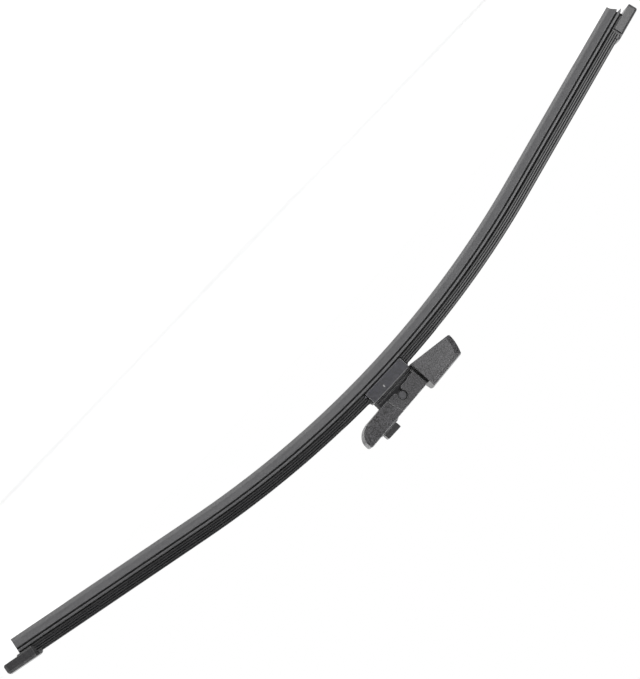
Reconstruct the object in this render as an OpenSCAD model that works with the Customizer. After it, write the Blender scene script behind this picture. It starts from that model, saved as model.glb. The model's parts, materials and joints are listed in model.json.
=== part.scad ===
// Flat wiper blade with a swivelling arm connector.
// Origin at the middle of the pivot pin. +X runs along the blade towards the connector's nose,
// +Y across it, and +Z away from the glass, so the lip points down.

/* [Blade] */
// Length of the rubber, measured along its lip
rubber_len = 400; // [300:5:600]
// Radius of the bow at the lip, in the middle of the blade
bow_r = 465; // [350:5:900]
// Slope of the straight ends, in degrees
end_angle = 12.8; // [6:0.1:15]
// How far each end cap reaches past half the rubber's length
end_reach = 7.2; // [6:0.5:12]
// How far the rubber sits towards -X from the middle
rubber_shift = 1.65; // [0:0.1:3]

/* [Rubber section] */
// Height of the thin lip
lip_h = 1.8; // [1.2:0.1:3]
// Thickness of the lip
lip_w = 0.8; // [0.5:0.1:1.2]
// Height of the wedge above the lip
wedge_h = 2.3; // [1.5:0.1:4]
// Height of the shoulder on the wedge
shoulder_h = 0.65; // [0.4:0.05:1.2]
// Width over the shoulders
shoulder_w = 5.2; // [4:0.1:6.5]
// Height of the neck that lets the lip tilt
neck_h = 0.55; // [0.4:0.05:1]
// Thickness of the neck
neck_w = 1.1; // [0.7:0.05:1.6]
// Height of the lower flange
flange_h = 1.25; // [0.8:0.05:2]
// Width of the lower flange
flange_w = 5.8; // [4:0.1:7]
// Open slot between the flange and the claws
slot_h = 0.65; // [0.4:0.05:1.2]
// Thickness of the web between the rails
web_w = 1.2; // [0.8:0.1:1.8]
// Height of the head above the rails
head_h = 0.8; // [0.6:0.05:1.4]
// Width of the head
head_w = 4.4; // [3:0.1:5.4]

/* [Rails] */
// Width of one spring rail
rail_w = 3.1; // [2.4:0.1:4]
// Thickness of one spring rail
rail_t = 0.9; // [0.6:0.05:1.2]
// Depth of the notch that each end cap's rib enters
notch_d = 0.8; // [0.4:0.1:1.2]

/* [Cover] */
// Wall of the cover beside the rails
cover_wall = 0.75; // [0.6:0.05:1.4]
// Thickness of the claws under the rails
claw_t = 0.6; // [0.4:0.05:1]
// How far the claws reach in under the rails
claw_reach = 0.95; // [0.5:0.05:1.5]
// Thickness of the cover's roof over the rubber's head
roof_t = 1.75; // [1.2:0.05:3]
// Depth of the grooves along the cover's sides, above the rails
groove_d = 0.5; // [0.1:0.05:0.8]
// Width of those grooves
groove_w = 0.4; // [0.2:0.05:0.5]
// Distance from groove to groove
groove_pitch = 1.02; // [0.9:0.02:1.2]
// Rounding of the cover's top edges
cover_round = 1.0; // [0.3:0.1:1.1]
// Gap between the clamp and the cover on the -X side
cover_gap_left = 0.2; // [0.1:0.1:1]
// Gap between the clamp and the cover on the +X side
cover_gap_right = 0.9; // [0.1:0.1:1.4]

/* [End caps] */
// Length of the part of each cap that closes round the rails
cap_body_l = 14.2; // [13:0.2:18]
// Length of the open notch behind it
cap_notch_l = 1.9; // [1.5:0.1:4]
// Length of the toe that grips the cover
cap_toe_l = 1.8; // [1.5:0.1:5]
// Wall of the cap outside the cover's side
cap_wall = 0.6; // [0.4:0.05:1.2]
// Height of the cap above the cover
cap_rise = 1.2; // [0.8:0.1:2]
// Width and height of the bevel along the cap's top edges
cap_bevel = 1.0; // [0.4:0.1:1.4]
// Depth of that notch
cap_notch_d = 1.0; // [0.6:0.1:1.1]
// Height of the bevel along the cap's lower edges
cap_under = 0.7; // [0.3:0.1:1]
// How far the cap's top is crowned between its bevels
cap_crown = 0.4; // [0.1:0.05:0.6]
// Rounding of the cap's outer top corner
cap_round = 2.0; // [1:0.1:2.4]

/* [Clamp and base] */
// Length of the clamp
clamp_l = 22.7; // [20:0.1:26]
// Height of the clamp's sides
clamp_h = 5.9; // [5.2:0.1:6.3]
// Thickness of the clamp's sheet
sheet_t = 0.6; // [0.4:0.05:0.7]
// Bend radius outside, at the clamp's edges
bend_r = 0.5; // [0.3:0.05:0.7]
// Height of the base's web above the clamp
web_h = 3.3; // [2.4:0.1:3.6]
// Width of the base's web and ear
ear_w = 6.4; // [4:0.1:6.6]
// How far the pin's ends sit in behind the connector's sides
pin_in = 1.1; // [0.2:0.1:1.2]
// Radius of the pivot pin
pin_r = 2.1; // [1.5:0.05:2.4]
// Radius of the ear round the pin
ear_r = 3.2; // [2.9:0.05:3.3]
// Length of the base's toes over the covers
toe_l = 1.1; // [0.8:0.1:1.6]

/* [Connector] */
// Tilt of the connector on its pin at rest, nose up, in degrees
connector_tilt = 2.3; // [-4:0.1:4]
// Width of the connector
body_w = 10.0; // [9.6:0.1:14]
// Height of the roof above the pin's axis
roof_z = 5.0; // [4.9:0.1:7]
// Depth of the side walls below the pin's axis
skirt_z = 3.5; // [3:0.1:4.5]
// Room between the side walls and the clamp
skirt_gap = 2.9; // [2.6:0.1:5]
// Thickness of the roof
roof_wall = 1.5; // [1:0.1:1.6]
// Thickness of the side walls
side_wall = 1.5; // [1:0.1:1.6]
// Length of the nose past the button
nose_reach = 8.5; // [7.5:0.05:16]
// Length of the nose's rounding
nose_round = 7.85; // [5:0.05:9]
// Depth of the step on the nose's sides
step_d = 0.3; // [0.1:0.05:0.5]
// Radial clearance of the clip on the pin
clip_gap = 0.05; // [0.02:0.01:0.1]
// Width of the clip's snap opening
snap_w = 3.3; // [2.8:0.1:3.8]

/* [Finishing cap] */
// Distance from the pin to the shoulder that the arm butts against
shoulder_x = 12.3; // [12:0.1:18]
// Length of the finishing cap
finish_l = 22.0; // [14:0.5:32]
// Width of the finishing cap at the shoulder
finish_w = 13.6; // [13:0.1:18]
// Width of the finishing cap at its tip
finish_tip_w = 12.0; // [11.6:0.1:16]
// Thickness of the finishing cap's walls
finish_wall = 1.75; // [1:0.05:1.8]
// Height of the finishing cap above the roof
finish_rise = 2.8; // [1.5:0.1:4]
// How far the cap's top is crowned between its bevels
finish_crown = 0.6; // [0.2:0.1:1]
// Depth of the finishing cap below the pin's axis, at the shoulder
finish_drop = 6.45; // [4:0.1:7]
// Depth of the finishing cap below the pin's axis, at its tip
tip_drop = 1.6; // [0.5:0.1:4]
// How far the tip leans in towards its top
tip_lean = 2.7; // [1:0.1:5]
// Width of the bevel at the tip
tip_bevel = 2.5; // [1:0.1:4]
// Width of the bevel along the top
top_bevel = 1.8; // [0.5:0.1:3]
// Length of the recessed neck
neck_l = 1.2; // [0.8:0.1:3]

/* [Release button] */
// Distance from the pin to the button's near side
button_x = 10.9; // [9.6:0.05:13]
// Length of the button along the blade
button_l = 7.8; // [5:0.1:9]
// Width of the button
button_w = 5.2; // [3:0.1:5.6]
// Height of the button above the roof
button_rise = 3.5; // [2:0.1:5]
// Clearance of the button in its window
button_gap = 0.15; // [0.1:0.05:0.3]
// How far the button travels
button_travel = 3.2; // [1.5:0.1:3.3]
// Thickness of the leaf spring
leaf_t = 0.4; // [0.2:0.05:0.5]

/* [Hidden] */
$fn = 64;
over = 1;         // how far a cutter runs past the face that it cuts
big = 60;         // larger than any section
fit = 0.05;       // clearance between pieces that seat in each other
loose = 0.1;      // clearance round what slides in from the end

// Heights in the section, from the lip up
wedge_z = lip_h;
shoulder_z = wedge_z + wedge_h;
neck_z = shoulder_z + shoulder_h;
flange_z = neck_z + neck_h;
slot_z = flange_z + flange_h;
claw_z = slot_z + slot_h;
clamp_sag = bow_r - sqrt(pow(bow_r, 2) - pow(clamp_l / 2, 2));
rail_z = claw_z + claw_t + clamp_sag + fit;     // the rails stay bowed inside the straight clamp
rail_top = rail_z + rail_t;
head_z = rail_top + fit;
head_top = head_z + head_h;
roof_in = head_top + loose;
top_z = roof_in + roof_t;

// Widths in the section, from the middle out
rail_in = web_w / 2 + fit;
rail_out = rail_in + rail_w;
pocket = rail_out + loose;
claw_in = pocket - claw_reach;
cover_half = pocket + cover_wall;
head_room = head_w / 2 + loose;
cap_half = cover_half + cap_wall;
cap_top = top_z + cap_rise;

// Grooves along the cover's sides
groove_z = claw_z + 0.87;
groove_low_d = cover_wall - 0.45;

// The bow
lip_z = -claw_z - clamp_h - skirt_gap - skirt_z;
arc_half = bow_r * end_angle * PI / 180;
blade_half = rubber_len / 2 + end_reach;
rail_end = 7;                                   // from the cap's outer face to the rail's end
rail_half = blade_half - rail_end;
cap_len = cap_body_l + cap_notch_l + cap_toe_l;
core_l = 1.2;                                   // core of each cap that stops the cover's end
cover_half_l = blade_half - cap_body_l - core_l - loose;
fin_l = 2.2;                                    // the fin of the flange past the lip at -X
web_past = 1;                                   // the web past the lip at -X
free_l = end_reach - rubber_shift - web_past - 2 * loose;
notch_x = 11;                                   // from the cap's outer face to the rail's notch
notch_l = 1.6;
middle_lap = 6;                                 // the two halves of the bow run into each other

// The clamp and the base in it, level at the middle
clamp_low = lip_z + claw_z;
clamp_top = clamp_low + clamp_h;
clamp_half = pocket + sheet_t;
block_low = lip_z + head_z;
block_top = clamp_top - sheet_t - fit;
block_x = clamp_l / 2 - loose;
web_x = clamp_l / 2 - 0.4;
web_top = clamp_top + web_h;
ear_half = ear_w / 2;
rib_w = 0.4;                                    // height of the grooves along the web
rib_d = 0.6;
rib_pitch = 1.25;
pin_half = body_w / 2 - pin_in;
pin_bevel = 0.25;

// The connector, level about the pin
body_half = body_w / 2;
cavity_half = body_half - side_wall;
cavity_top = roof_z - roof_wall;
edge_r = 0.8;                                   // rounding along the roof's edges
bore_r = pin_r + clip_gap;
clip_rim_r = bore_r + 0.15;
clip_rim_d = 0.3;
floor_t = 1.4;
floor_z = floor_t - skirt_z;
floor_x = sqrt(pow(web_x, 2) + pow(web_top, 2)) + 0.8;
nose_l = button_x + button_l + nose_reach;
nose_c = nose_l - nose_round;
nose_z = 3.0;                                   // height of the nose's widest point
nose_wall = 1.5;
relief_x = 7;                                   // the side walls are a little shorter beside the clip
relief_d = 0.3;
step_top_x = 4.95;                              // the step on the sides leans towards the nose
step_low_x = 7.25;

// The finishing cap
finish_x = shoulder_x + finish_l;
finish_half = finish_w / 2;
finish_tip = finish_tip_w / 2;
finish_top = roof_z + finish_rise;
tip_top = finish_top - 0.3;
finish_bevel_d = 1.3;
shoulder_wall = 1.6;
neck_half = body_half - 0.8;
neck_drop = 1.15;

// The release button
button_end = button_x + button_l;
button_half = button_w / 2;
collar_h = 0.65;
collar_run = 1.7;
flange_t = 0.9;
flange_reach = 0.6;
button_low = cavity_top - loose - flange_t;

// The leaf spring under it
spring_tip = button_x + 1.5;
spring_x = nose_c;
spring_bend = 0.95;
spring_z = floor_z + fit + spring_bend;
spring_rise = button_low - fit - spring_z - spring_bend;
spring_lean = atan(spring_rise / (spring_x - spring_tip));

// Moves children to length s along the bow; they stand with X along the blade and Z up from the lip
module at(s) {
    inner = max(-arc_half, min(arc_half, s));
    turn = inner / bow_r * 180 / PI;
    translate([bow_r * sin(turn), 0, lip_z - bow_r + bow_r * cos(turn)])
        rotate([0, turn, 0])
            translate([s - inner, 0, 0])
                children();
}

// Carries a section (across, up) straight along X
module straight(length) {
    rotate([90, 0, 90])
        linear_extrude(length)
            children();
}

// Carries a section (across, up) along the +X half of the bow, from s0 to s1
module bow(s0, s1) {
    turn = min(end_angle, s1 / bow_r * 180 / PI);
    translate([0, 0, lip_z - bow_r])
        rotate([90, 0, 0])
            rotate([0, 0, 90 - turn]) {
                rotate_extrude(angle = turn - s0 / bow_r * 180 / PI, $fn = 360)
                    translate([bow_r, 0])
                        rotate(-90)
                            children();
                if (s1 > arc_half)
                    rotate([90, 0, 0])
                        linear_extrude(s1 - arc_half)
                            translate([bow_r, 0])
                                rotate(-90)
                                    children();
            }
}

// A slab across the blade, from its outline seen from the side
module side_slab(half) {
    rotate([90, 0, 0])
        linear_extrude(2 * half, center = true)
            children();
}

// A rectangle about the middle, from z0 to z1
module bar(half, z0, z1) {
    translate([-half, z0])
        square([2 * half, z1 - z0]);
}

// A bar with its two top corners rounded
module round_bar(half, z0, z1, r) {
    bar(half, z0, z1 - r);
    bar(half - r, z1 - 2 * r, z1);
    for (side = [-1, 1])
        translate([side * (half - r), z1 - r])
            circle(r);
}

// An outline given by its right half, from the bottom up
module mirrored(half) {
    polygon(concat(half, [for (i = [len(half) - 1:-1:0]) [-half[i][0], half[i][1]]]));
}

// The squeegee's section: lip, wedge, shoulder, neck, flange, web and head
module rubber_section() {
    edge = 0.2;
    mirrored([
        [lip_w / 2, 0],
        [lip_w / 2, wedge_z],
        [shoulder_w / 2, shoulder_z],
        [shoulder_w / 2, neck_z - edge],
        [shoulder_w / 2 - edge, neck_z],
        [neck_w / 2, neck_z],
        [neck_w / 2, flange_z],
        [flange_w / 2, flange_z + edge],
        [flange_w / 2, slot_z - edge],
        [flange_w / 2 - edge, slot_z],
        [web_w / 2, slot_z],
        [web_w / 2, head_z],
        [head_w / 2, head_z],
        [head_w / 2, head_top]
    ]);
}

// The -X end as it was cut: the lip stands back under the shoulder and the flange runs out in a thin fin
module left_cut() {
    polygon([
        [-over, -over],
        [fin_l, -over],
        [fin_l, lip_h],
        [fin_l - web_past * 0.6, shoulder_z - wedge_h * 0.4],
        [fin_l - web_past, shoulder_z + shoulder_h * 0.3],
        [fin_l - web_past / 2, flange_z - neck_h * 0.2],
        [0, slot_z - flange_h * 0.55],
        [fin_l - web_past, slot_z - flange_h * 0.1],
        [fin_l - web_past, top_z],
        [-over, top_z]
    ]);
}

module wiper_rubber() {
    color("dimgray")
        difference() {
            union() {
                bow(-middle_lap, rubber_len / 2 - rubber_shift)
                    rubber_section();
                mirror([1, 0, 0])
                    bow(-middle_lap, rubber_len / 2 + rubber_shift + fin_l)
                        rubber_section();
            }
            at(-rubber_len / 2 - rubber_shift - fin_l)
                side_slab(big)
                    left_cut();
        }
}

// One spring rail with the notches for the end caps' ribs; side is -1 in front and 1 behind
module rail(side) {
    color("gray")
        difference() {
            for (end = [0, 1])
                mirror([end, 0, 0])
                    bow(-middle_lap, rail_half)
                        translate([side * (rail_in + rail_w / 2), 0])
                            bar(rail_w / 2, rail_z, rail_top);
            for (end = [-1, 1])
                at(end * (blade_half - notch_x))
                    translate([-notch_l / 2, side * (rail_out - notch_d + big / 2) - big / 2, rail_z - over])
                        cube([notch_l, big, rail_t + 2 * over]);
        }
}

module rail_front() {
    rail(-1);
}

module rail_rear() {
    rail(1);
}

// A groove's section: a notch that narrows to its bottom, depth away from the face at 0
module groove(depth) {
    mouth = groove_w / 2 * 1.1;
    polygon([[-depth, 0], [depth * 0.1, -mouth], [depth * 0.1, mouth]]);
}

// The cover's section: claws under the rails, grooved sides and a rounded roof over the rubber's head
module cover_section() {
    difference() {
        round_bar(cover_half, claw_z, top_z, cover_round);
        bar(claw_in, claw_z - over, rail_z);
        bar(pocket, claw_z + claw_t, head_z);
        bar(head_room, rail_z, roof_in);
        for (side = [-1, 1])
            for (i = [0:2])
                translate([side * cover_half, groove_z + i * groove_pitch])
                    groove(side * (i == 0 ? groove_low_d : groove_d));
    }
}

module cover_left() {
    color("darkslategray")
        mirror([1, 0, 0])
            bow(clamp_l / 2 + cover_gap_left, cover_half_l)
                cover_section();
}

module cover_right() {
    color("darkslategray")
        bow(clamp_l / 2 + cover_gap_right, cover_half_l)
            cover_section();
}

// The end cap seen from the side, with its outer face at 0 and the toe towards the middle
module cap_side() {
    low_r = 1;
    lift = 0.6;
    slope = 1.5;
    corner = 0.6;
    roof = top_z + fit;
    core_x = -cap_body_l - core_l;
    polygon([
        [core_x, claw_z + corner],
        [corner + core_x, claw_z],
        [-rail_end - lift, claw_z],
        [-rail_end, claw_z + lift],
        [-low_r, claw_z + lift],
        [0, claw_z + lift + low_r],
        [0, cap_top - cap_round],
        [-cap_round, cap_top],
        [slope - cap_len, cap_top],
        [slope * 0.4 - cap_len, cap_top - 0.4],
        [-cap_len, roof],
        [-cap_len, roof - cap_rise],
        [-cap_body_l - cap_notch_l, roof - cap_rise],
        [-cap_body_l - cap_notch_l, roof],
        [core_x, roof]
    ]);
    translate([-cap_round, cap_top - cap_round])
        circle(cap_round);
    translate([-low_r, claw_z + lift + low_r])
        circle(low_r);
}

// The cap's section outside, with its top edges bevelled
module cap_section() {
    mirrored([
        [cap_half - cap_under * 1.4, claw_z],
        [cap_half, claw_z + cap_under],
        [cap_half, cap_top - cap_crown - cap_bevel],
        for (u = [1:-0.25:0]) [u * (cap_half - cap_bevel), cap_top - cap_crown * pow(u, 2)]
    ]);
}

// The cap seen from above, with its outer corners rounded
module cap_plan() {
    r = 1.5;
    translate([-cap_len - over, -cap_half - over])
        square([cap_len + over - r, 2 * (cap_half + over)]);
    translate([-cap_len - over, r - cap_half])
        square([cap_len + over, 2 * (cap_half - r)]);
    for (side = [-1, 1])
        translate([-r, side * (cap_half - r)])
            circle(r);
}

// One end cap: closed round the rail ends, open below for the rubber, with ribs in the rails' notches
module end_cap() {
    deep = cap_len + over;
    color([0.2, 0.2, 0.21])
        at(blade_half)
            difference() {
                intersection() {
                    translate([-cap_len, 0, 0])
                        straight(cap_len)
                            cap_section();
                    side_slab(big)
                        cap_side();
                    translate([0, 0, claw_z - over])
                        linear_extrude(cap_top)
                            cap_plan();
                }
                difference() {
                    translate([-deep, 0, 0])
                        straight(deep - rail_end + loose)
                            bar(rail_out + fit, rail_z - fit, rail_top + fit);
                    for (side = [0, 1])
                        mirror([0, side, 0])
                            translate([-notch_x - notch_l / 2 + loose, rail_out - notch_d + loose, claw_z])
                                cube([notch_l - 2 * loose, cap_half, roof_in - claw_z]);
                }
                translate([-deep, 0, 0])
                    straight(deep - free_l)
                        bar(head_room, rail_z, roof_in);
                translate([-deep, 0, 0])
                    straight(deep - free_l)
                        bar(web_w / 2 + loose, claw_z - over, head_z);
                translate([-deep, 0, 0])
                    straight(deep - cap_body_l - core_l)
                        bar(cover_half + fit, claw_z - over, top_z + fit);
                for (side = [0, 1])
                    mirror([0, side, 0])
                        translate([-cap_body_l - cap_notch_l, cap_half - cap_notch_d, claw_z - over])
                            cube([cap_notch_l, cap_half, cap_top - claw_z + over - cap_bevel / 2]);
            }
}

module end_cap_right() {
    end_cap();
}

module end_cap_left() {
    mirror([1, 0, 0])
        end_cap();
}

// The clamp: folded sheet, closed over the base's block and hooked under the rails
module rail_clamp() {
    color([0.22, 0.24, 0.27])
        difference() {
            translate([-clamp_l / 2, 0, 0])
                straight(clamp_l)
                    difference() {
                        union() {
                            round_bar(clamp_half, clamp_low + bend_r, clamp_top, bend_r);
                            bar(clamp_half - bend_r, clamp_low, clamp_top - bend_r);
                            for (side = [-1, 1])
                                translate([side * (clamp_half - bend_r), clamp_low + bend_r])
                                    circle(bend_r);
                        }
                        bar(pocket, clamp_low + sheet_t, clamp_top - sheet_t);
                        bar(claw_in, clamp_low - over, clamp_low + sheet_t + over);
                    }
            translate([-web_x - loose, -ear_half - loose, clamp_top - sheet_t - over])
                cube([2 * (web_x + loose), 2 * (ear_half + loose), sheet_t + 2 * over]);
        }
}

// The base seen from the side: the ear, and the web under it
module base_side() {
    circle(ear_r);
    translate([-ear_r + 0.1, web_top - fit])
        square([2 * ear_r - 0.2, -web_top]);
    translate([-web_x, block_top - fit])
        square([2 * web_x, web_top - block_top + fit]);
}

// A toe of the base: it runs out of the clamp and curves down onto the cover
module base_toe() {
    r = toe_l - 0.2;
    low = lip_z + top_z + fit - clamp_sag;
    tip = clamp_l / 2 + toe_l;
    side_slab(ear_half)
        difference() {
            union() {
                translate([block_x - over, low])
                    square([2 * over, block_top - low]);
                translate([clamp_l / 2 + fit, low])
                    square([toe_l - fit, r + 0.15]);
            }
            translate([tip, low + r + 0.15])
                circle(r);
        }
}

// The base: block in the clamp, ribbed web, ear with the pin's bore, and toes over the covers
module base() {
    color([0.16, 0.16, 0.17])
        difference() {
            union() {
                translate([-block_x, -pocket + fit, block_low])
                    cube([2 * block_x, 2 * (pocket - fit), block_top - block_low]);
                side_slab(ear_half)
                    base_side();
                for (side = [0, 1])
                    mirror([side, 0, 0])
                        base_toe();
            }
            translate([-big, 0, 0])
                straight(2 * big)
                    bar(head_room, block_low - over, lip_z + roof_in);
            for (side = [-1, 1])
                for (z = [clamp_top + rib_w, clamp_top + rib_w + rib_pitch])
                    translate([0, side * ear_half, z])
                        cube([3 * web_x, 2 * rib_d, rib_w], center = true);
            rotate([90, 0, 0])
                cylinder(h = 2 * big, r = pin_r, center = true);
        }
}

// The pivot pin with its bevelled ends
module pivot_pin() {
    color([0.3, 0.3, 0.31])
        rotate([90, 0, 0])
            rotate_extrude()
                polygon([
                    [0, -pin_half],
                    [pin_r - pin_bevel, -pin_half],
                    [pin_r, pin_bevel - pin_half],
                    [pin_r, pin_half - pin_bevel],
                    [pin_r - pin_bevel, pin_half],
                    [0, pin_half]
                ]);
}

// Sets the connector's pieces on the pin
module tilted() {
    rotate([0, -connector_tilt, 0])
        children();
}

// Points of a nose rounding, from its front down to its floor
function nose_curve(rx, rz) = [for (a = [0:6:90]) [nose_c + rx * cos(a), nose_z - rz * sin(a)]];

// The connector's body seen from the side
module body_side() {
    corner = 0.9;
    polygon(concat(
        [
            [neck_l - shoulder_x, -skirt_z],
            [neck_l - shoulder_x, roof_z],
            [nose_l - corner, roof_z],
            [nose_l - 0.27, roof_z - 0.27],
            [nose_l, roof_z - corner]
        ],
        nose_curve(nose_round, nose_z + skirt_z)
    ));
}

// The hollow inside it: open below round the ear, closed by a floor in the nose
module cavity_side() {
    polygon(concat(
        [
            [-shoulder_x - shoulder_wall - over, -big],
            [-shoulder_x - shoulder_wall - over, cavity_top],
            [nose_l - nose_wall, cavity_top]
        ],
        nose_curve(nose_round - nose_wall, nose_z - floor_z),
        [[floor_x, floor_z], [floor_x, -big]]
    ));
}

// The clip's opening in the side walls: a neck that snaps over the pin and a flared mouth
module clip_mouth() {
    mirrored([
        [snap_w / 2 + 1.4, -skirt_z - over],
        [snap_w / 2 + 0.8, -skirt_z],
        [snap_w / 2, -skirt_z + 1],
        [snap_w / 2, -0.5]
    ]);
}

// Points down the finishing cap's tip, which bows out towards its foot
function tip_curve(inset, height) = [
    for (u = [1:-0.2:0])
        [tip_lean * pow(u, 1.8) + inset - finish_x, u * (height + tip_drop) - tip_drop]
];

// The finishing cap seen from the side, drawn in from its top and tip
module finish_side(top_in, tip_in) {
    corner = 0.5;
    polygon(concat(
        [[-shoulder_x, -finish_drop], [-shoulder_x, finish_top - top_in]],
        tip_curve(tip_in, tip_top - top_in),
        [[tip_in + corner - finish_x, -tip_drop - corner]]
    ));
}

// The finishing cap seen from above
module finish_plan(wall) {
    polygon([
        [-shoulder_x + over, finish_half - wall],
        [-finish_x - over, finish_tip - wall],
        [-finish_x - over, wall - finish_tip],
        [-shoulder_x + over, wall - finish_half]
    ]);
}

// A slice through the finishing cap, drawn in from its sides, its top and its tip
module finish_slice(side_in, top_in, tip_in) {
    intersection() {
        side_slab(finish_half)
            finish_side(top_in, tip_in);
        linear_extrude(2 * big, center = true)
            finish_plan(side_in);
    }
}

// The finishing cap: bevelled on top and at the tip, hollow below, with the shoulder for the arm
module finishing_cap() {
    difference() {
        hull() {
            finish_slice(0, top_bevel, tip_bevel);
            for (u = [1:-0.25:0.25])
                finish_slice(finish_tip - (finish_tip - finish_bevel_d) * u, -finish_crown * (1 - pow(u, 2)), 0);
        }
        intersection() {
            side_slab(big)
                polygon([
                    [-shoulder_x + over, -big],
                    [-shoulder_x + over, -skirt_z - neck_drop],
                    [-shoulder_x - shoulder_wall, -skirt_z - neck_drop],
                    [-shoulder_x - shoulder_wall, finish_top - finish_wall],
                    [tip_lean + finish_wall - finish_x, tip_top - finish_wall],
                    [tip_lean / 2 + finish_wall - finish_x, -big]
                ]);
            linear_extrude(2 * big, center = true)
                finish_plan(finish_wall);
        }
    }
}

// The raised collar round the button's window
module collar() {
    side_slab(body_half - edge_r)
        polygon([
            [button_x - collar_run - 0.5, roof_z - over / 2],
            [button_x - collar_run - 0.5, roof_z],
            [button_x - 0.5, roof_z + collar_h],
            [button_end + 0.3, roof_z + collar_h],
            [button_end + 1.2, roof_z],
            [button_end + 1.2, roof_z - over / 2]
        ]);
}

// The arm connector
module adapter() {
    color([0.25, 0.25, 0.26])
        tilted()
            difference() {
                union() {
                    intersection() {
                        side_slab(body_half)
                            body_side();
                        translate([-big, 0, 0])
                            straight(2 * big)
                                round_bar(body_half, -big / 2, roof_z, edge_r);
                    }
                    translate([-shoulder_x - over / 2, -neck_half, -skirt_z - neck_drop])
                        cube([neck_l + over, 2 * neck_half, skirt_z + neck_drop + roof_z - 0.15]);
                    collar();
                    finishing_cap();
                }
                side_slab(cavity_half)
                    cavity_side();
                translate([button_x - button_gap, -button_half - button_gap, cavity_top - over])
                    cube([button_l + 2 * button_gap, button_w + 2 * button_gap, roof_wall + collar_h + 2 * over]);
                rotate([90, 0, 0])
                    cylinder(h = 2 * big, r = bore_r, center = true);
                side_slab(big)
                    clip_mouth();
                side_slab(big)
                    mirrored([[relief_x, -skirt_z - over], [relief_x, -skirt_z], [relief_x - 0.3, relief_d - skirt_z]]);
                for (side = [-1, 1]) {
                    translate([0, side * body_half, 0])
                        rotate([90, 0, 0])
                            cylinder(h = 2 * clip_rim_d, r = clip_rim_r, center = true);
                    translate([0, side * (body_half - step_d + big), 0])
                        side_slab(big)
                            polygon([
                                [step_top_x, roof_z + over],
                                [step_low_x, -skirt_z - over],
                                [big, -skirt_z - over],
                                [big, roof_z + over]
                            ]);
                }
            }
}

// The button seen from the side: latch block, the inset line at its foot, and the flange under the roof
module button_side() {
    inset = 0.25;
    line_z = roof_z + collar_h;
    polygon([
        [button_x, button_low],
        [button_end, button_low],
        [button_end, line_z - 0.1],
        [button_end - inset, line_z],
        [button_end - inset, line_z + 0.2],
        [button_end, line_z + 0.35],
        [button_end, roof_z + button_rise - 0.7],
        [button_end - 0.2, roof_z + button_rise - 0.4],
        [button_end - 0.5, roof_z + button_rise - 0.25],
        [button_x + 0.4, roof_z + button_rise],
        [button_x + 0.1, roof_z + button_rise - 0.15],
        [button_x, roof_z + button_rise - 0.4],
        [button_x, line_z + 0.35],
        [button_x + inset, line_z + 0.2],
        [button_x + inset, line_z],
        [button_x, line_z - 0.1]
    ]);
}

module release_button() {
    color([0.2, 0.2, 0.22])
        tilted() {
            side_slab(button_half)
                button_side();
            translate([button_x - flange_reach, -button_half - flange_reach / 2, button_low])
                cube([button_l + 2 * flange_reach, button_w + flange_reach, flange_t]);
        }
}

// Points of the leaf spring's bend, round its middle and up to the arm
function bend_points(r) = [for (a = [-90:10:90 - spring_lean]) [spring_x + r * cos(a), spring_z + r * sin(a)]];

// The leaf spring: a foot on the nose's floor, a bend, and an arm that bears on the button from below
module button_spring() {
    outer = bend_points(spring_bend);
    inner = bend_points(spring_bend - leaf_t);
    arm = [-cos(spring_lean), sin(spring_lean)] * (spring_x - spring_tip) / cos(spring_lean);
    top = len(outer) - 1;
    color("silver")
        tilted()
            side_slab(2)
                polygon(concat(
                    [[spring_tip, spring_z - spring_bend]],
                    outer,
                    [outer[top] + arm, inner[top] + arm],
                    [for (i = [top:-1:0]) inner[i]],
                    [[spring_tip, spring_z - spring_bend + leaf_t]]
                ));
}

wiper_rubber();
rail_front();
rail_rear();
cover_left();
cover_right();
end_cap_left();
end_cap_right();
rail_clamp();
base();
pivot_pin();
adapter();
release_button();
button_spring();
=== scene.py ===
"""Looks for the flat wiper blade: swept rubber and covers, finishes, studio and camera."""

import json
import logging
import math
from dataclasses import dataclass, field
from enum import Enum

import bpy
import numpy as np
from mathutils import Matrix, Vector


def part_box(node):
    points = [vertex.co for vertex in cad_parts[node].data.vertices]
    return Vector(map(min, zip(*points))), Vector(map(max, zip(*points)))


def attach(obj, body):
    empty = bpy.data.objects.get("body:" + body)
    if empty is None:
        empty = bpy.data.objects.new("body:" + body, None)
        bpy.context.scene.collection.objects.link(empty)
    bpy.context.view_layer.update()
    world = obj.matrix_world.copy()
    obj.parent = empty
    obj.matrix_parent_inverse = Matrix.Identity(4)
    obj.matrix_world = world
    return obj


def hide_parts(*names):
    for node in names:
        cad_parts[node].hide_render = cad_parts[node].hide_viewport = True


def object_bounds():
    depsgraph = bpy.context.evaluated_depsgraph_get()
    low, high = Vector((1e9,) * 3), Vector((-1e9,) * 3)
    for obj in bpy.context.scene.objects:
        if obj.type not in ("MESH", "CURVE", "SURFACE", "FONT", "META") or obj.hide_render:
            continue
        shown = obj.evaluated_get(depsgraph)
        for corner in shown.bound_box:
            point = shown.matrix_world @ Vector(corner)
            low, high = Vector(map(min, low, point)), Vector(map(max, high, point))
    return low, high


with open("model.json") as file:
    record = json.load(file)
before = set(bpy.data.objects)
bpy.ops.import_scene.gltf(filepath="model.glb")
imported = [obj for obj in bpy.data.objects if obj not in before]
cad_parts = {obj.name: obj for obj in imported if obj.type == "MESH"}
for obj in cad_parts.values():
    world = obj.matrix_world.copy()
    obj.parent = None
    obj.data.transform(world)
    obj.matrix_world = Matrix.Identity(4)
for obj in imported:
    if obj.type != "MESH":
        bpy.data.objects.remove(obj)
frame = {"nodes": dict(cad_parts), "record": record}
CAD_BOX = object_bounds()
LOG = logging.getLogger("wiper_blade")
MM = 0.001
ALONG = "along"
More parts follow.
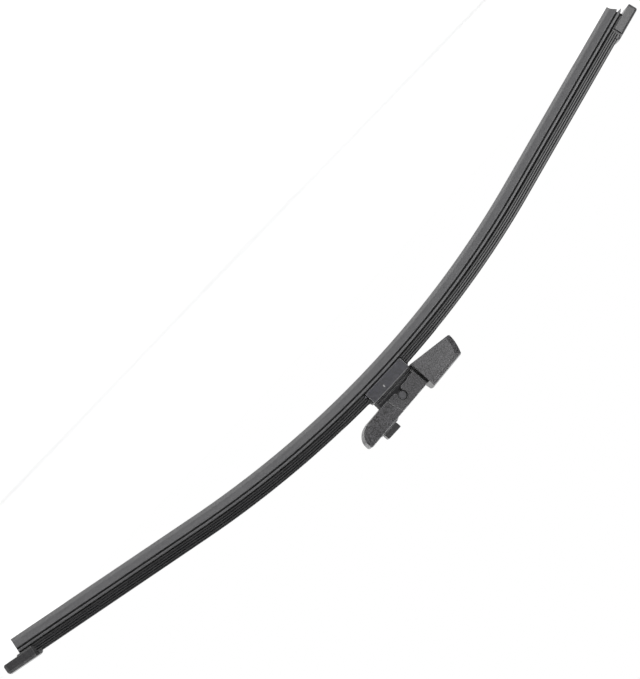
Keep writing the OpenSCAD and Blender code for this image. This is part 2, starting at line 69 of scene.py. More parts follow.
# Mesh attributes of the swept pieces: one paints shade into slits and grooves, one paints a highlight onto
# the lip.
PAINTED_SHADE = "painted_shade"
PAINTED_HIGHLIGHT = "painted_highlight"
PAINTED_SHADE_TONE = 0.002
PAINTED_HIGHLIGHT_TONE = 0.17
DUST_COLOR = (0.5, 0.49, 0.47)
DRIFT_SHARE = 0.15
BUMP_DEPTH = 0.25
BEVEL_SAMPLES = 4
SPOT_GRAIN = 2600.0
SPOT_EDGE = (1.6, 1.2)
SHARP_DEG = 38.0


class Pattern(Enum):
    """Which way a finish breaks up its surface."""

    MOULDED = "moulded grain"
    DRAWN = "streaks along an extrusion"


@dataclass(frozen=True)
class Spot:
    """A place on a piece whose colour differs, from a real mark or from painted light or shade: a stretched
    ball with a ragged edge.

    Attributes:
        at_mm: its middle.
        size_mm: its half sizes.
        tone: its grey.
        amount: how far it covers the colour below.
    """

    at_mm: tuple[float, float, float]
    size_mm: tuple[float, float, float]
    tone: float
    amount: float = 1.0


@dataclass(frozen=True)
class Finish:
    """One finish of the blade.

    Attributes:
        name: what the maker calls it.
        slot: the record's material slot that it dresses.
        color: linear base colour.
        rough: plain roughness.
        specular: strength of the plain reflection.
        metallic: 1 for bare metal.
        pattern: how the surface is broken up.
        grain_mm: size of the grain, in millimetres.
        grain_tone: how far the grain lightens or darkens the colour.
        grain_rough: how far the grain changes the roughness.
        bump: height of the grain in the normal.
        edge_mm: radius that moulded edges show, in millimetres.
        wear_and_painted_light: how much of the rubbed tone the edges take.
        edge_tone: grey of rubbed edges.
        dust: how much pale dust lies on faces that look up.
        coat: weight of the smooth skin over the grain, which shines at a low angle.
        coat_rough: roughness of that skin.
        coat_ior: index of refraction of that skin.
        spots: places where the surface differs, real marks or painted light and shade.
    """

    name: str
    slot: str
    color: tuple[float, float, float]
    rough: float
    specular: float = 0.5
    metallic: float = 0.0
    pattern: Pattern = Pattern.MOULDED
    grain_mm: float = 0.5
    grain_tone: float = 0.2
    grain_rough: float = 0.06
    bump: float = 0.3
    edge_mm: float = 0.3
    # wear_and_painted_light: how much of the edge tone the edges take, partly rubbed wear and partly
    # painted edge highlight.
    wear_and_painted_light: float = 0.2
    # edge_tone: grey of the edges, pale for rubbed wear and painted edge highlights, dark on the pin for
    # painted shade.
    edge_tone: float = 0.36
    dust: float = 0.05
    coat: float = 0.0
    coat_rough: float = 0.2
    coat_ior: float = 1.5
    spots: tuple[Spot, ...] = ()


# A nick in the clamp's paint; painted shade in the neck behind the finishing cap; a painted highlight along
# the fold at the top of the clamp; and painted shade on the wall of the clip round the pin.
NICK = Spot((2.8, -4.4, -8.8), (0.3, 4.0, 0.65), 0.42)
PAINTED_RECESS_SHADE = Spot((-12.0, 0.0, 0.0), (0.75, 30.0, 30.0), 0.004, 0.85)
PAINTED_FOLD_HIGHLIGHT = Spot((0.0, 0.0, -6.45), (60.0, 60.0, 0.34), 0.3, 0.6)
PAINTED_BORE_SHADE = Spot((0.0, 0.0, 0.0), (2.7, 30.0, 2.7), 0.003)

# Edge tone and its amount paint pale lines along edges, partly rubbed wear and partly painted edge
# highlights.
RUBBER = Finish(
    "graphite rubber", "rubber", (0.08, 0.08, 0.084), 0.55, pattern=Pattern.DRAWN, grain_mm=0.7,
    grain_tone=0.18, bump=0.12, edge_mm=0.1, wear_and_painted_light=0.1, dust=0.1, coat=0.8, coat_rough=0.3,
)
COVER = Finish(
    "glossy cover plastic", "cover_plastic", (0.006, 0.006, 0.0072), 0.32, pattern=Pattern.DRAWN,
    grain_mm=0.5, grain_tone=0.25, bump=0.06, edge_mm=0.12, wear_and_painted_light=0.03, dust=0.02, coat=0.6,
    coat_rough=0.16,
)
CONNECTOR = Finish(
    "spark-eroded connector plastic", "connector_plastic", (0.046, 0.045, 0.048), 0.5, specular=0.25,
    grain_mm=0.5, grain_tone=1.0, grain_rough=0.2, bump=1.0, edge_mm=0.28, wear_and_painted_light=1.0, edge_tone=0.34,
    dust=0.04, coat=0.75, coat_rough=0.24, coat_ior=1.4, spots=(PAINTED_RECESS_SHADE, PAINTED_BORE_SHADE),
)
BASE = Finish(
    "matte base plastic", "cap_plastic", (0.009, 0.0088, 0.01), 0.55, specular=0.25, grain_mm=0.4,
    grain_tone=0.35, bump=0.25, edge_mm=0.25, wear_and_painted_light=1.0, dust=0.02,
)
BUTTON = Finish(
    "polished button plastic", "connector_plastic", (0.008, 0.0075, 0.009), 0.42, grain_mm=0.5,
    grain_tone=0.4, bump=0.15, edge_mm=0.3, wear_and_painted_light=0.15, dust=0.03, coat=0.5, coat_ior=1.35,
)
CAP = Finish(
    "end cap plastic", "cap_plastic", (0.016, 0.0155, 0.0175), 0.42, grain_mm=0.4, grain_tone=0.6,
    bump=0.4, edge_mm=0.4, wear_and_painted_light=0.3, dust=0.03, coat=0.8, coat_ior=1.45,
)
PAINTED = Finish(
    "painted steel", "painted_steel", (0.02, 0.02, 0.028), 0.42, grain_mm=1.2, grain_tone=0.4,
    bump=0.08, edge_mm=0.45, wear_and_painted_light=1.0, dust=0.05, coat=0.4, spots=(NICK, PAINTED_FOLD_HIGHLIGHT),
)
SPRING = Finish(
    "blued spring steel", "spring_steel", (0.11, 0.11, 0.12), 0.42, metallic=1.0, grain_mm=0.3,
    grain_tone=0.2, bump=0.1, edge_mm=0.1, wear_and_painted_light=0.0, dust=0.0,
)
# Painted shade: the pin's dark edge tone paints a ring along its rim, where the clip's clearance lies in
# shadow.
PIN = Finish(
    "blackened pin", "pin_steel", (0.065, 0.065, 0.07), 0.42, grain_mm=0.4, grain_tone=0.4,
    bump=0.2, edge_mm=0.3, wear_and_painted_light=1.0, edge_tone=0.004, dust=0.05,
)


def add(tree: bpy.types.NodeTree, kind: str, **settings: object) -> bpy.types.Node:
    """Adds a node and sets its properties or the defaults of its sockets.

    Args:
        tree: the tree that it joins.
        kind: the node's type name.
        **settings: property names, or socket names with spaces written as underscores.

    Returns:
        The new node.
    """
    node = tree.nodes.new(kind)
    for name, value in settings.items():
        if hasattr(node, name):
            setattr(node, name, value)
        else:
            node.inputs[name.replace("_", " ")].default_value = value
    return node


class SurfaceGroups:
    """Shader groups that more than one finish uses, each built once.

    A band holds the values between which a mask runs from 0 to 1, and a scale counts features per metre.

    Attributes:
        GRAIN_BAND: band of the fine grain's noise.
        STREAK_BAND: band of the streaks' and cells' noise added up.
        DRIFT_BAND: band of every broad noise.
        DRIFT_SCALE: scale of the moulded drift, over that of the grain.
        EDGE_TURN_BAND: band of the cosine between the face's normal and the rounded one.
        EDGE_PATCH_SCALE: scale of the patches along the pale edges, partly rubbed wear and partly painted
            edge highlight.
        EDGE_PATCH_LEAST: how much of the edge tone stays between the patches.
        DUST_BAND: band of the dust's noise.
        DUST_SCALE: scale of the dust's patches.
        FACING_BAND: band of the normal's rise, from faces that look down to those that look up.
        FACING_LEAST: how much dust stays on faces that look down.
    """

    GRAIN_BAND = (0.38, 0.62)
    STREAK_BAND = (0.75, 1.25)
    DRIFT_BAND = (0.35, 0.65)
    DRIFT_SCALE = 0.1
    EDGE_TURN_BAND = (0.995, 0.9)
    EDGE_PATCH_SCALE = 900.0
    EDGE_PATCH_LEAST = 0.7
    DUST_BAND = (0.42, 0.72)
    DUST_SCALE = 260.0
    FACING_BAND = (-0.6, 0.9)
    FACING_LEAST = 0.35

    def __init__(self) -> None:
        """Builds the four groups."""
        self.moulded = self._moulded()
        self.drawn = self._drawn()
        self.edge = self._edge()
        self.dust = self._dust()

    @staticmethod
    def _group(name: str, inputs: dict[str, float], outputs: list[str]) -> tuple:
        """A new group with float inputs and outputs.

        Args:
            name: the group's name.
            inputs: each input's name and its default.
            outputs: the outputs' names.

        Returns:
            The tree, its input node and its output node.
        """
        tree = bpy.data.node_groups.new(name, "ShaderNodeTree")
        kind = "NodeSocketFloat"
        for key, value in inputs.items():
            socket = tree.interface.new_socket(key, in_out="INPUT", socket_type=kind)
            socket.default_value = value
        for key in outputs:
            tree.interface.new_socket(key, in_out="OUTPUT", socket_type=kind)
        return tree, tree.nodes.new("NodeGroupInput"), tree.nodes.new("NodeGroupOutput")

    @staticmethod
    def _band(tree: bpy.types.NodeTree, band: tuple[float, float], least: float = 0.0) -> bpy.types.Node:
        """A node that runs from a least value to 1 while its input runs through a band.

        Args:
            tree: the tree that it joins.
            band: the input's values at the two ends.
            least: what it gives at the first end.

        Returns:
            The new node.
        """
        return add(tree, "ShaderNodeMapRange", From_Min=band[0], From_Max=band[1], To_Min=least)

    def _moulded(self) -> bpy.types.NodeTree:
        """Spark-eroded grain: fine cells over a broad drift, on object coordinates."""
        tree, into, out = self._group("moulded_grain", {"Scale": 2000.0}, ["Mask", "Height", "Drift"])
        link = tree.links.new
        coord = add(tree, "ShaderNodeTexCoord")
        fine = add(tree, "ShaderNodeTexNoise", Detail=1.5, Roughness=0.6)
        slow = add(tree, "ShaderNodeMath", operation="MULTIPLY")
        slow.inputs[1].default_value = self.DRIFT_SCALE
        broad = add(tree, "ShaderNodeTexNoise", Detail=2.0)
        for noise in (fine, broad):
            link(coord.outputs["Object"], noise.inputs["Vector"])
        link(into.outputs["Scale"], fine.inputs["Scale"])
        link(into.outputs["Scale"], slow.inputs[0])
        link(slow.outputs[0], broad.inputs["Scale"])
        spread = self._band(tree, self.GRAIN_BAND)
        drift = self._band(tree, self.DRIFT_BAND)
        link(fine.outputs[0], spread.inputs["Value"])
        link(broad.outputs[0], drift.inputs["Value"])
        link(spread.outputs["Result"], out.inputs["Mask"])
        link(fine.outputs[0], out.inputs["Height"])
        link(drift.outputs["Result"], out.inputs["Drift"])
        return tree

    def _drawn(self) -> bpy.types.NodeTree:
        """Extrusion marks: noise pulled out along the length of the piece's own map."""
        tree, into, out = self._group("drawn_streaks", {"Scale": 2000.0}, ["Mask", "Height", "Drift"])
        link = tree.links.new
        coord = add(tree, "ShaderNodeUVMap", uv_map=ALONG)
        results = []
        streaks, cells, patches = ((0.03, 1.0, 1.0), 3.0), ((0.9, 0.9, 1.0), 2.0), ((0.004, 0.12, 1.0), 2.0)
        for stretch, detail in (streaks, cells, patches):
            pull = add(tree, "ShaderNodeVectorMath", operation="MULTIPLY")
            pull.inputs[1].default_value = stretch
            noise = add(tree, "ShaderNodeTexNoise", Detail=detail)
            link(coord.outputs["UV"], pull.inputs[0])
            link(pull.outputs["Vector"], noise.inputs["Vector"])
            link(into.outputs["Scale"], noise.inputs["Scale"])
            results.append(noise)
        both = add(tree, "ShaderNodeMath", operation="ADD")
        link(results[0].outputs[0], both.inputs[0])
        link(results[1].outputs[0], both.inputs[1])
        spread = self._band(tree, self.STREAK_BAND)
        drift = self._band(tree, self.DRIFT_BAND)
        link(both.outputs[0], spread.inputs["Value"])
        link(results[2].outputs[0], drift.inputs["Value"])
        link(spread.outputs["Result"], out.inputs["Mask"])
        link(both.outputs[0], out.inputs["Height"])
        link(drift.outputs["Result"], out.inputs["Drift"])
        return tree

    def _edge(self) -> bpy.types.NodeTree:
        """Edges where the rounded normal leaves the face's normal, broken up by noise: partly rubbed wear,
        partly painted edge highlights, and painted shade where the tone is dark.
        """
        tree, into, out = self._group("rubbed_and_highlit_edges", {"Radius": 0.0003, "Amount": 0.3}, ["Mask"])
        link = tree.links.new
        soft = add(tree, "ShaderNodeBevel", samples=BEVEL_SAMPLES)
        plain = add(tree, "ShaderNodeNewGeometry")
        turn = add(tree, "ShaderNodeVectorMath", operation="DOT_PRODUCT")
        coord = add(tree, "ShaderNodeTexCoord")
        noise = add(tree, "ShaderNodeTexNoise", Scale=self.EDGE_PATCH_SCALE, Detail=3.0)
        edge_turn = self._band(tree, self.EDGE_TURN_BAND)
        patch = self._band(tree, self.DRIFT_BAND, self.EDGE_PATCH_LEAST)
        both = add(tree, "ShaderNodeMath", operation="MULTIPLY")
        size = add(tree, "ShaderNodeMath", operation="MULTIPLY", use_clamp=True)
        link(into.outputs["Radius"], soft.inputs["Radius"])
        link(soft.outputs["Normal"], turn.inputs[0])
        link(plain.outputs["Normal"], turn.inputs[1])
        link(turn.outputs["Value"], edge_turn.inputs["Value"])
        link(coord.outputs["Object"], noise.inputs["Vector"])
        link(noise.outputs[0], patch.inputs["Value"])
        link(edge_turn.outputs["Result"], both.inputs[0])
        link(patch.outputs["Result"], both.inputs[1])
        link(both.outputs[0], size.inputs[0])
        link(into.outputs["Amount"], size.inputs[1])
        link(size.outputs[0], out.inputs["Mask"])
        return tree

    def _dust(self) -> bpy.types.NodeTree:
        """Settled dust: thin on every face, thicker where a face looks up, in specks and patches."""
        tree, into, out = self._group("settled_dust", {"Amount": 0.05}, ["Mask"])
        link = tree.links.new
        coord = add(tree, "ShaderNodeTexCoord")
        shape = add(tree, "ShaderNodeNewGeometry")
        parts = add(tree, "ShaderNodeSeparateXYZ")
        facing = self._band(tree, self.FACING_BAND, self.FACING_LEAST)
        noise = add(tree, "ShaderNodeTexNoise", Scale=self.DUST_SCALE, Detail=6.0, Roughness=0.7)
        patch = self._band(tree, self.DUST_BAND)
        both = add(tree, "ShaderNodeMath", operation="MULTIPLY")
        size = add(tree, "ShaderNodeMath", operation="MULTIPLY", use_clamp=True)
        link(shape.outputs["Normal"], parts.inputs[0])
        link(parts.outputs["Z"], facing.inputs["Value"])
        link(coord.outputs["Object"], noise.inputs["Vector"])
        link(noise.outputs[0], patch.inputs["Value"])
        link(facing.outputs["Result"], both.inputs[0])
        link(patch.outputs["Result"], both.inputs[1])
        link(both.outputs[0], size.inputs[0])
        link(into.outputs["Amount"], size.inputs[1])
        link(size.outputs[0], out.inputs["Mask"])
        return tree


class Dresser:
    """Makes the materials and puts them on pieces."""

    def __init__(self, groups: SurfaceGroups) -> None:
        """Keeps the shader groups.

        Args:
            groups: the shared shader groups.
        """
        self._groups = groups
        self._made: dict[str, bpy.types.Material] = {}

    @staticmethod
    def _over(tree: bpy.types.NodeTree, under: bpy.types.NodeSocket, mask: bpy.types.NodeSocket,
              color: tuple[float, float, float]) -> bpy.types.NodeSocket:
        """Lays a colour over another where a mask is high.

        Args:
            tree: the material's tree.
            under: the colour below.
            mask: where the new colour shows.
            color: the new colour.

        Returns:
            The mixed colour.
        """
        mix = add(tree, "ShaderNodeMix", data_type="RGBA")
        colors = [s for s in mix.inputs if s.type == "RGBA"]
        colors[1].default_value = (*color, 1)
        tree.links.new(mask, mix.inputs[0])
        tree.links.new(under, colors[0])
        return next(s for s in mix.outputs if s.type == "RGBA")

    @staticmethod
    def _spot(tree: bpy.types.NodeTree, spot: Spot) -> bpy.types.NodeSocket:
        """The mask of one spot: high inside the stretched ball, its edge moved by noise.

        Args:
            tree: the material's tree.
            spot: the spot.

        Returns:
            Its mask.
        """
        link = tree.links.new
        coord = add(tree, "ShaderNodeTexCoord")
        away = add(tree, "ShaderNodeVectorMath", operation="SUBTRACT")
        away.inputs[1].default_value = [x * MM for x in spot.at_mm]
        scale = add(tree, "ShaderNodeVectorMath", operation="DIVIDE")
        scale.inputs[1].default_value = [x * MM for x in spot.size_mm]
        far = add(tree, "ShaderNodeVectorMath", operation="LENGTH")
        noise = add(tree, "ShaderNodeTexNoise", Scale=SPOT_GRAIN, Detail=3.0)
        ragged = add(tree, "ShaderNodeMath", operation="ADD")
        mask = add(tree, "ShaderNodeMapRange", From_Min=SPOT_EDGE[0], From_Max=SPOT_EDGE[1],
                   To_Max=spot.amount)
        link(coord.outputs["Object"], away.inputs[0])
        link(away.outputs["Vector"], scale.inputs[0])
        link(scale.outputs["Vector"], far.inputs[0])
        link(coord.outputs["Object"], noise.inputs["Vector"])
        link(far.outputs["Value"], ragged.inputs[0])
        link(noise.outputs[0], ragged.inputs[1])
        link(ragged.outputs[0], mask.inputs["Value"])
        return mask.outputs["Result"]

    def material(self, finish: Finish) -> bpy.types.Material:
        """The material of one finish, made on first use.

        Args:
            finish: the finish.

        Returns:
            The material.
        """
        if finish.name in self._made:
            return self._made[finish.name]
        mat = bpy.data.materials.new(finish.name.replace(" ", "_"))
        mat.use_nodes = True
        tree = mat.node_tree
        tree.nodes.clear()
        link = tree.links.new
        groups = self._groups
        out = add(tree, "ShaderNodeOutputMaterial")
        shader = add(tree, "ShaderNodeBsdfPrincipled", Metallic=finish.metallic, Coat_Weight=finish.coat,
                     Coat_Roughness=finish.coat_rough, Coat_IOR=finish.coat_ior)
        shader.inputs["Specular IOR Level"].default_value = finish.specular
        kind = groups.drawn if finish.pattern is Pattern.DRAWN else groups.moulded
        grain = add(tree, "ShaderNodeGroup", node_tree=kind)
        grain.inputs["Scale"].default_value = 1.0 / (finish.grain_mm * MM)
        edge = add(tree, "ShaderNodeGroup", node_tree=groups.edge)
        edge.inputs["Radius"].default_value = finish.edge_mm * MM
        edge.inputs["Amount"].default_value = finish.wear_and_painted_light
        dust = add(tree, "ShaderNodeGroup", node_tree=groups.dust)
        dust.inputs["Amount"].default_value = finish.dust

        tone = add(tree, "ShaderNodeMath", operation="MULTIPLY_ADD")
        tone.inputs[1].default_value = DRIFT_SHARE
        link(grain.outputs["Drift"], tone.inputs[0])
        most = add(tree, "ShaderNodeMath", operation="MULTIPLY")
        most.inputs[1].default_value = 1 - DRIFT_SHARE
        link(grain.outputs["Mask"], most.inputs[0])
        link(most.outputs[0], tone.inputs[2])
        tint = add(tree, "ShaderNodeMix", data_type="RGBA")
        low, high = 1 - finish.grain_tone, 1 + finish.grain_tone
        ends = [s for s in tint.inputs if s.type == "RGBA"]
        ends[0].default_value = (*(c * low for c in finish.color), 1)
        ends[1].default_value = (*(c * high for c in finish.color), 1)
        link(tone.outputs[0], tint.inputs[0])
        color = next(s for s in tint.outputs if s.type == "RGBA")
        # Edge tone: pale edges, partly rubbed wear and partly painted edge highlights; on the pin, painted
        # shade.
        color = self._over(tree, color, edge.outputs["Mask"], (finish.edge_tone,) * 3)
        # Painted highlight: the lip lightened towards a pale grey.
        painted_highlight = add(tree, "ShaderNodeAttribute", attribute_name=PAINTED_HIGHLIGHT)
        color = self._over(tree, color, painted_highlight.outputs["Fac"], (PAINTED_HIGHLIGHT_TONE,) * 3)
        # Painted shade: slits and grooves darkened towards near black.
        painted_shade = add(tree, "ShaderNodeAttribute", attribute_name=PAINTED_SHADE)
        color = self._over(tree, color, painted_shade.outputs["Fac"], (PAINTED_SHADE_TONE,) * 3)
        color = self._over(tree, color, dust.outputs["Mask"], DUST_COLOR)
        # Spots: a real nick in the paint, painted shade in recesses and a painted highlight on the clamp's
        # fold.
        for spot in finish.spots:
            color = self._over(tree, color, self._spot(tree, spot), (spot.tone,) * 3)
        link(color, shader.inputs["Base Color"])

        # The painted shade also takes the coat's reflection out of the slits and grooves.
        if finish.coat:
            skin = add(tree, "ShaderNodeMapRange", To_Min=finish.coat, To_Max=0.0)
            link(painted_shade.outputs["Fac"], skin.inputs["Value"])
            link(skin.outputs["Result"], shader.inputs["Coat Weight"])
        rough = add(tree, "ShaderNodeMapRange")
        rough.inputs["To Min"].default_value = finish.rough - finish.grain_rough
        rough.inputs["To Max"].default_value = finish.rough + finish.grain_rough
        link(grain.outputs["Mask"], rough.inputs["Value"])
        link(rough.outputs["Result"], shader.inputs["Roughness"])
        soft = add(tree, "ShaderNodeBevel", samples=BEVEL_SAMPLES, Radius=finish.edge_mm * MM)
        depth = finish.grain_mm * MM * BUMP_DEPTH
        bump = add(tree, "ShaderNodeBump", Strength=finish.bump, Distance=depth)
        link(grain.outputs["Height"], bump.inputs["Height"])
        link(soft.outputs["Normal"], bump.inputs["Normal"])
        link(bump.outputs["Normal"], shader.inputs["Normal"])
        link(shader.outputs["BSDF"], out.inputs["Surface"])
        self._made[finish.name] = mat
        return mat

    def dress(self, piece: bpy.types.Object, finish: Finish) -> None:
        """Puts a finish on a piece.

        Args:
            piece: a mesh object.
            finish: its finish.
        """
        piece.data.materials.clear()
        piece.data.materials.append(self.material(finish))
        LOG.info("%s dressed in %s", piece.name, finish.name)


@dataclass(frozen=True)
class Bow:
    """The line that the blade follows: an arc about the middle and a straight run at each end.

    Attributes:
        radius: radius of the arc at the lip, in millimetres.
        end_deg: how far the arc turns on each side.
    """

    radius: float = 465.0
    end_deg: float = 12.8

    def lip_z(self) -> float:
        """Height of the lip at the middle, from the record's wiping edge."""
        edge = next(m for m in frame["record"]["mounts"] if m["name"] == "wiping_edge")
        return edge["pos_m"][2] / MM

    def place(self, s: np.ndarray, across: np.ndarray, rise: np.ndarray) -> np.ndarray:
        """Points of the blade in metres.

        The turn is the arc length over the radius, held at the arc's end. A point stands at the arc's
        point, then goes on by what is left of s along the tangent, and by its rise along the normal.

        Args:
            s: lengths along the bow, in millimetres.
            across: places across the blade, along Y.
            rise: heights above the lip.

        Returns:
            An array of points whose last axis holds X, Y and Z.
        """
        half = self.radius * math.radians(self.end_deg)
        inner = np.clip(s, -half, half)
        turn = inner / self.radius
        along = (self.radius + rise) * np.sin(turn) + (s - inner) * np.cos(turn)
        up = (self.radius + rise) * np.cos(turn) - (s - inner) * np.sin(turn)
        up = up - self.radius + self.lip_z()
        return np.stack(np.broadcast_arrays(along, across, up), -1) * MM


def rounded(corners: np.ndarray, radii: np.ndarray, steps: int = 4) -> np.ndarray:
    """Rounds the corners of a closed outline.

    Each corner P becomes a parabola's arc (1-t)^2 A + 2t(1-t) P + t^2 B, where A and B lie on its two
    sides at the corner's reach, which stays below half of either side.

    Args:
        corners: the outline's corners, counter-clockwise, one row each.
        radii: the reach of each corner's arc.
        steps: points on each arc.

    Returns:
        The rounded outline.
    """
    back = np.roll(corners, 1, 0) - corners
    ahead = np.roll(corners, -1, 0) - corners
    back_l = np.linalg.norm(back, axis=1, keepdims=True)
    ahead_l = np.linalg.norm(ahead, axis=1, keepdims=True)
    reach = np.minimum(radii[:, None], 0.45 * np.minimum(back_l, ahead_l))
    first = (corners + back / back_l * reach)[:, None]
    last = (corners + ahead / ahead_l * reach)[:, None]
    t = np.linspace(0, 1, steps)[None, :, None]
    arcs = (1 - t) ** 2 * first + 2 * t * (1 - t) * corners[:, None] + t**2 * last
    return arcs.reshape(-1, 2)


def mirrored(half: list[tuple[float, float, float]]) -> tuple[np.ndarray, np.ndarray]:
    """A closed outline from its right half, from the bottom up.

    Args:
        half: rows of across, rise and corner radius.

    Returns:
        The corners and their radii, counter-clockwise.
    """
    right = np.array(half, float)
    left = right[::-1] * (-1, 1, 1)
    both = np.vstack([right, left])
    return both[:, :2], both[:, 2]


def sweep(name: str, bow: Bow, outline: np.ndarray, start: np.ndarray, end: np.ndarray,
          stations: int, painted_shade: np.ndarray, painted_highlight: np.ndarray) -> bpy.types.Object:
    """A section carried along the bow, closed at both ends.

    Point (k, j) of the grid is the outline's point j at length start_j + (end_j - start_j) k / n, where
    n is one less than the number of sections. The map named ALONG holds the length and the way round the
    section, in metres.

    Args:
        name: the piece's name.
        bow: the line that it follows.
        outline: the section's points across and up, counter-clockwise.
        start: where each outline point begins along the bow.
        end: where each outline point ends.
        stations: how many sections.
        painted_shade: how much painted shade each outline point takes, 0 to 1, most in slits and grooves.
        painted_highlight: how much painted highlight each outline point takes, 0 to 1.

    Returns:
        The new piece, with its place in its mesh.
    """
    count = len(outline)
    share = np.linspace(0, 1, stations)[:, None]
    s = start[None] + (end - start)[None] * share
    points = bow.place(s, outline[None, :, 0], outline[None, :, 1]).reshape(-1, 3)
    k, j = np.meshgrid(np.arange(stations - 1), np.arange(count), indexing="ij")
    after = (j + 1) % count
    here, there = k * count, (k + 1) * count
    quads = np.stack([here + j, here + after, there + after, there + j], -1).reshape(-1, 4)
    lids = [list(range(count))[::-1], list(range((stations - 1) * count, stations * count))]
    mesh = bpy.data.meshes.new(name)
    mesh.from_pydata(points.tolist(), [], quads.tolist() + lids)
    step = np.linalg.norm(np.roll(outline, -1, 0) - outline, axis=1)
    way = np.concatenate([[0], np.cumsum(step)])
    u = np.stack([s[k, j], s[k, after], s[k + 1, after], s[k + 1, j]], -1)
    v = np.stack([way[j], way[j + 1], way[j + 1], way[j]], -1)
    sides = np.stack([u, v], -1).reshape(-1, 2)
    ends = np.vstack([outline[::-1], outline])
    layer = mesh.uv_layers.new(name=ALONG)
    layer.data.foreach_set("uv", (np.vstack([sides, ends]) * MM).ravel())
    for key, values in ((PAINTED_SHADE, painted_shade), (PAINTED_HIGHLIGHT, painted_highlight)):
        mesh.attributes.new(key, "FLOAT", "POINT").data.foreach_set("value", np.tile(values, stations))
    mesh.shade_smooth()
    mesh.set_sharp_from_angle(angle=math.radians(SHARP_DEG))
    piece = bpy.data.objects.new(name, mesh)
    bpy.context.scene.collection.objects.link(piece)
    return piece


